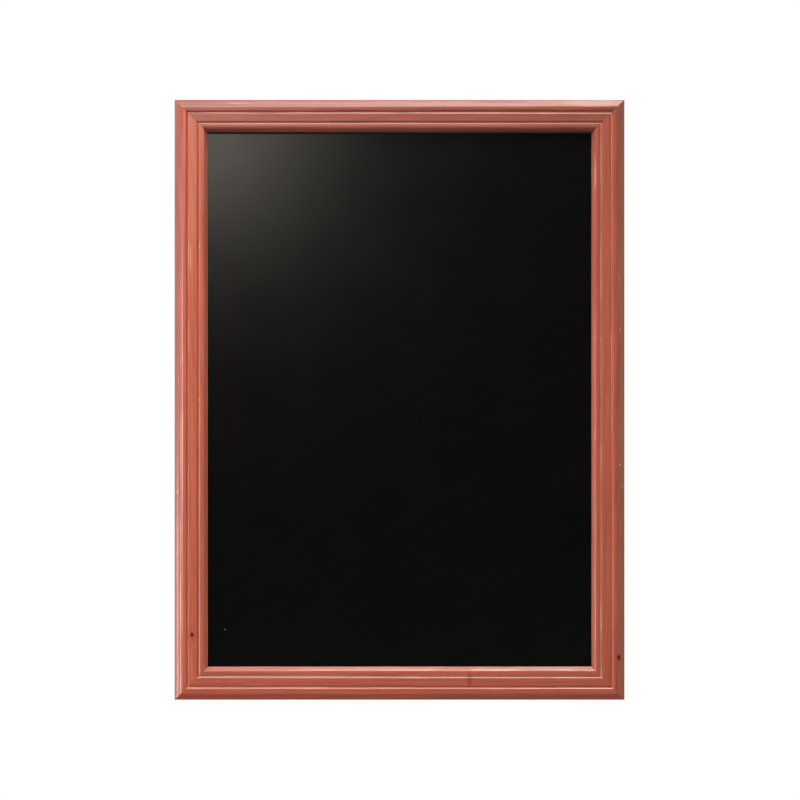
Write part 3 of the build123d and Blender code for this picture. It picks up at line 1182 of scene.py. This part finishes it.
@dataclass
class Frame(Part):
    """The four mouldings, their mitres nailed from behind."""

    board: Board = Board()
    finish: StainedWood = StainedWood()
    nail_leg: float = 8 * MM
    nail_strip: float = 0.5 * MM
    nail_depth: float = 7 * MM
    nail_bend_radius: float = 0.6 * MM
    nail_insets: tuple[float, ...] = (10 * MM, 24 * MM)
    point_width: float = 6 * MM
    point_thickness: float = 0.6 * MM
    point_in_wood: float = 7 * MM
    point_tip: float = 3 * MM
    points_per_rail: int = 3
    points_per_stile: int = 4
    pilot_radius: float = 1.55 * MM
    pilot_depth: float = 12.2 * MM
    pilot_facets: int = 20
    screw_steps: tuple[float, ...] = (9 * MM, 23 * MM)
    slot_ease: float = 0.06 * MM
    overrun: float = 1 * MM
    sharp_angle: float = math.radians(38)
    even_weight: int = 90

    def build(self) -> None:
        """Build, cut and dress the four members."""
        for side in Side:
            member = Moulding(side, self.board).build()
            self._cut(member, side)
            self._shade(member)
            material = self.finish.material(side, self.board)
            node = side.label + ("_rail" if side.is_rail else "_stile")
            finished(member, material)
            finished(self.nodes[node], material)
            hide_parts(node)
            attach(member, "board")
            log.info("%s: %d faces", member.name, len(member.data.polygons))

    def _cut(self, member: Thing, side: Side) -> None:
        """Cut the slots and holes that the fixings sit in.

        Args:
            member: The frame member.
            side: Its side.
        """
        cutter = bmesh.new()
        turn = Matrix.Rotation(side.turn, 4, "Y")
        tools = [(self._nail_slot(corner, inset), Matrix.Identity(4))
                 for corner in Corner for inset in self.nail_insets]
        tools += [(self._point_slot(side), turn @ Matrix.Translation((along, 0, 0)))
                  for along in self._point_places(side)]
        tools += [(self._pilot(), Matrix.Translation(place))
                  for place in self._pilot_places(side)]
        for prism, place in tools:
            extrude(cutter, prism, place)
        bmesh.ops.recalc_face_normals(cutter, faces=cutter.faces)
        tool = piece("cutter_" + side.label, cutter)
        cut = member.modifiers.new("fixings", "BOOLEAN")
        cut.operation, cut.solver, cut.object = "DIFFERENCE", "EXACT", tool
        graph = bpy.context.evaluated_depsgraph_get()
        mesh = bpy.data.meshes.new_from_object(member.evaluated_get(graph))
        member.modifiers.clear()
        member.data = mesh
        bpy.data.objects.remove(tool)

    def _nail_slot(self, corner: Corner, inset: float) -> Prism:
        """Slot of one V-nail, a little wider than its strip.

        Args:
            corner: The nail's corner.
            inset: Distance of its bend from the outer sides.

        Returns:
            The slot, in place.
        """
        right, up = corner.value
        half = self.nail_strip / 2 + self.slot_ease
        leg = self.nail_leg + self.slot_ease
        inner = self.nail_bend_radius
        shape = rounded([Bend(-leg, half), Bend(half, half, inner + self.nail_strip),
                         Bend(half, -leg), Bend(-half, -leg), Bend(-half, -half, inner),
                         Bend(-leg, -half)])
        x0, z0 = self.board.width / 2 - inset, self.board.height / 2 - inset
        back = self.board.frame_back
        outline = [(right * (x0 + x), up * (z0 + z)) for x, z in shape]
        return outline, back - self.nail_depth, back + self.overrun

    def _point_places(self, side: Side) -> list[float]:
        """Places of the panel points along a side.

        Args:
            side: The side.

        Returns:
            Distances from the side's middle.
        """
        count = self.points_per_rail if side.is_rail else self.points_per_stile
        spacing = self.board.length(side) / count
        return [spacing * (place + 0.5) - self.board.length(side) / 2 for place in range(count)]

    def _point_slot(self, side: Side) -> Prism:
        """Slot of one panel point, on the top side.

        Args:
            side: The side whose distance from the centre it has.

        Returns:
            The slot.
        """
        half, tip = self.point_width / 2, self.point_in_wood
        wall = self.board.reach(side) - self.board.flat_back_width
        outline = [(-half, wall - self.overrun), (half, wall - self.overrun),
                   (half, wall + tip - self.point_tip), (0, wall + tip),
                   (-half, wall + tip - self.point_tip)]
        low = self.board.frame_back - self.board.back_recess
        return outline, low, low + self.point_thickness

    def _pilot_places(self, side: Side) -> list[Point]:
        """Places of the two screw holes of the hanger on a side.

        Args:
            side: The side.

        Returns:
            The places.
        """
        board = self.board
        outward = 1 if side in (Side.TOP, Side.RIGHT) else -1
        across = outward * (board.reach(side) - board.hanger_inset)
        if side.is_rail:
            return [(-board.width / 2 + board.hanger_end_distance + step, board.frame_back, across)
                    for step in self.screw_steps]
        return [(across, board.frame_back, board.height / 2 - board.hanger_end_distance - step)
                for step in self.screw_steps]

    def _pilot(self) -> Prism:
        """Hole of one screw, its mouth at the origin.

        Returns:
            The hole.
        """
        turns = [facet * math.tau / self.pilot_facets for facet in range(self.pilot_facets)]
        circle = [(self.pilot_radius * math.cos(turn), self.pilot_radius * math.sin(turn))
                  for turn in turns]
        return circle, -self.pilot_depth, self.overrun

    def _shade(self, member: Thing) -> None:
        """Shade the long faces smoothly and keep the sharp edges.

        Args:
            member: The frame member.
        """
        mesh = member.data
        mesh.polygons.foreach_set("use_smooth", [True] * len(mesh.polygons))
        mesh.set_sharp_from_angle(angle=self.sharp_angle)
        even = member.modifiers.new("even_normals", "WEIGHTED_NORMAL")
        even.keep_sharp, even.weight = True, self.even_weight


@dataclass
class Panel(Part):
    """The writing face and the hardboard behind it."""

    laminate: ChalkLaminate = ChalkLaminate()
    core: Hardboard = Hardboard()

    def build(self) -> None:
        """Dress both sheets."""
        self.dress(["writing_surface"], self.laminate.material(), Slot.LAMINATE)
        self.dress(["panel_core"], self.core.material(), Slot.HARDBOARD)


@dataclass
class Fixings(Part):
    """V-nails, panel points, hangers and their screws, all of metal."""

    edge_bevel: float = 0.08 * MM
    bevel_segments: int = 2
    bevel_angle: float = math.radians(40)
    merge_distance: float = 0.004 * MM
    flat_angle: float = math.radians(0.5)

    def build(self) -> None:
        """Dress every metal node, and ease the edges of sheet metal."""
        nails = ["corner_nails_" + corner.label for corner in Corner]
        points, straps, rings = ([kind + side.label for side in Side] for kind in
                                 ("panel_points_", "hanger_strap_", "hanger_ring_"))
        for metal, sheets, others in ((BRIGHT_STEEL, nails + points, []),
                                      (ZINC_STEEL, straps, rings),
                                      (YELLOW_ZINC, [], ["hanger_screws"])):
            self.dress(sheets + others, metal.material(), metal.slot)
            for name in sheets:
                self._ease(self.nodes[name])

    def _ease(self, node: Thing) -> None:
        """Ease the sharp edges of sheet metal.

        Args:
            node: The CAD node.
        """
        weld = node.modifiers.new("weld", "WELD")
        weld.merge_threshold = self.merge_distance
        flat = node.modifiers.new("flat_faces", "DECIMATE")
        flat.decimate_type, flat.angle_limit = "DISSOLVE", self.flat_angle
        bevel = node.modifiers.new("eased_edges", "BEVEL")
        bevel.limit_method, bevel.angle_limit = "ANGLE", self.bevel_angle
        bevel.width, bevel.segments = self.edge_bevel, self.bevel_segments
        even = node.modifiers.new("even_normals", "WEIGHTED_NORMAL")
        even.keep_sharp = True


@dataclass
class Bumpers(Part):
    """The four rubber discs that keep the board off the wall."""

    finish: Rubber = Rubber()

    def build(self) -> None:
        """Dress the discs."""
        names = ["bumper_" + corner.label for corner in Corner]
        self.dress(names, self.finish.material(), Slot.RUBBER)


@dataclass(frozen=True)
class Lamp:
    """A soft rectangular lamp aimed at a point."""

    name: str
    place: Point
    target: Point
    size: tuple[float, float]
    power: float
    diffuse: float = 1.0
    specular: float = 1.0
    colour: Colour = (1.0, 1.0, 1.0)

    def build(self) -> None:
        """Make the lamp."""
        light = bpy.data.lights.new(self.name, "AREA")
        light.shape, (light.size, light.size_y) = "RECTANGLE", self.size
        light.energy, light.color = self.power, self.colour
        light.diffuse_factor, light.specular_factor = self.diffuse, self.specular
        lamp = linked(self.name, light)
        lamp.location = self.place
        aim = Vector(self.target) - Vector(self.place)
        lamp.rotation_euler = aim.to_track_quat("-Z", "Y").to_euler()
        lamp.visible_camera = False


@dataclass
class Studio:
    """Camera, lamps, surroundings and floor."""

    camera_place: Point = (0.6 * MM, -3.0, -0.25 * MM)
    view_width: float = 1.0668
    view_plane: float = -13.6 * MM
    floor_level: float = -1.6
    floor_radius: float = 5.6
    floor_facets: int = 96
    floor_colours: tuple[Colour, Colour] = ((0.46, 0.46, 0.45), (0.50, 0.50, 0.49))
    ambient: float = 0.45
    lamps: tuple[Lamp, ...] = (
        Lamp("key", (-0.49, -0.73, 1.79), (0.0, 0.0, 0.0), (1.7, 1.5), 60.0, specular=0.5),
        Lamp("bounce", (0.0, -0.5, -0.95), (0.0, 0.0, -0.40), (0.8, 0.3), 0.8, specular=0.1),
        Lamp("sheen", (-0.69, -2.5, 0.90), (-0.69, 0.0, 0.90), (0.78, 0.84), 7.9,
             diffuse=0.0, colour=(1.0, 0.91, 0.78)),
        Lamp("side_strip", (-1.5, -0.1, -0.5), (-0.28, -0.1, -0.5), (0.3, 0.7), 9.0,
             diffuse=0.0),
        Lamp("back_fill", (0.9, 1.9, 0.9), (0.0, 0.0, 0.0), (1.2, 1.2), 12.0),
    )

    def build(self) -> None:
        """Set up everything round the board."""
        self._camera()
        self._world()
        self._floor()
        for lamp in self.lamps:
            lamp.build()
        bpy.context.scene.view_settings.view_transform = "Standard"
        log.info("studio: ready")

    def _camera(self) -> None:
        """The camera, square on to the board's front."""
        data = bpy.data.cameras.new("camera")
        distance = self.view_plane - self.camera_place[1]
        data.lens = data.sensor_width * distance / self.view_width
        camera = linked("camera", data)
        camera.location = self.camera_place
        camera.rotation_euler = (math.pi / 2, 0.0, 0.0)
        bpy.context.scene.camera = camera

    def _world(self) -> None:
        """Even light from all round, white to the camera, with a dim room behind the camera."""
        world = bpy.data.worlds.new("surroundings")
        world.use_nodes = True
        world.node_tree.nodes.clear()
        g = Graph(world.node_tree)
        _, back, up = g.parts(g.add("TexCoord").outputs["Generated"])
        white = g.times(g.smooth(back, -0.75, -0.20), g.smooth(up, -0.5, 0.6, 0.05, 1.0))
        rays = g.add("LightPath").outputs
        seen = g.math("MAXIMUM", rays["Is Glossy Ray"], rays["Is Transmission Ray"])
        light = g.plus(self.ambient, g.times(seen, g.minus(white, self.ambient)))
        light = g.plus(light, g.times(rays["Is Camera Ray"], g.minus(1.0, light)))
        g.add("OutputWorld", g.out("Background", (1.0, 1.0, 1.0), light))
        bpy.context.scene.world = world

    def _floor(self) -> None:
        """Plain pale floor that fades into the white background."""
        made = bmesh.new()
        bmesh.ops.create_circle(made, cap_ends=True, segments=self.floor_facets,
                                radius=self.floor_radius)
        made.transform(Matrix.Translation((0.0, 0.0, self.floor_level)))
        floor = piece("floor", made)
        g = Material("pale_floor", Roughness=0.8, Specular_IOR_Level=0.2)
        g.set(Base_Color=g.mix(g.noise(g.coords, 3.0, 3.0), *self.floor_colours))
        reach = g.reach(g.coords, (0.0, 0.0, 0.0), (1.0, 1.0, 0.0))
        fade = g.smooth(reach, 0.35 * self.floor_radius, 0.95 * self.floor_radius, 0.35, 1.0)
        fade = g.times(fade, g.add("LightPath").outputs["Is Camera Ray"])
        blend = g.out("MixShader", fade, g.shader.outputs[0], g.out("Emission"))
        out = next(n for n in g.tree.nodes if n.type == "OUTPUT_MATERIAL")
        g.feed(out.inputs["Surface"], blend)
        finished(floor, g.data)


def main() -> None:
    """Build the studio and dress the board."""
    logging.basicConfig(level=logging.INFO, format="%(name)s %(message)s")
    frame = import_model()
    Studio().build()
    Effects().build()
    for part in (Frame, Panel, Fixings, Bumpers):
        part(frame["nodes"]).build()


if __name__ == "__main__":
    main()
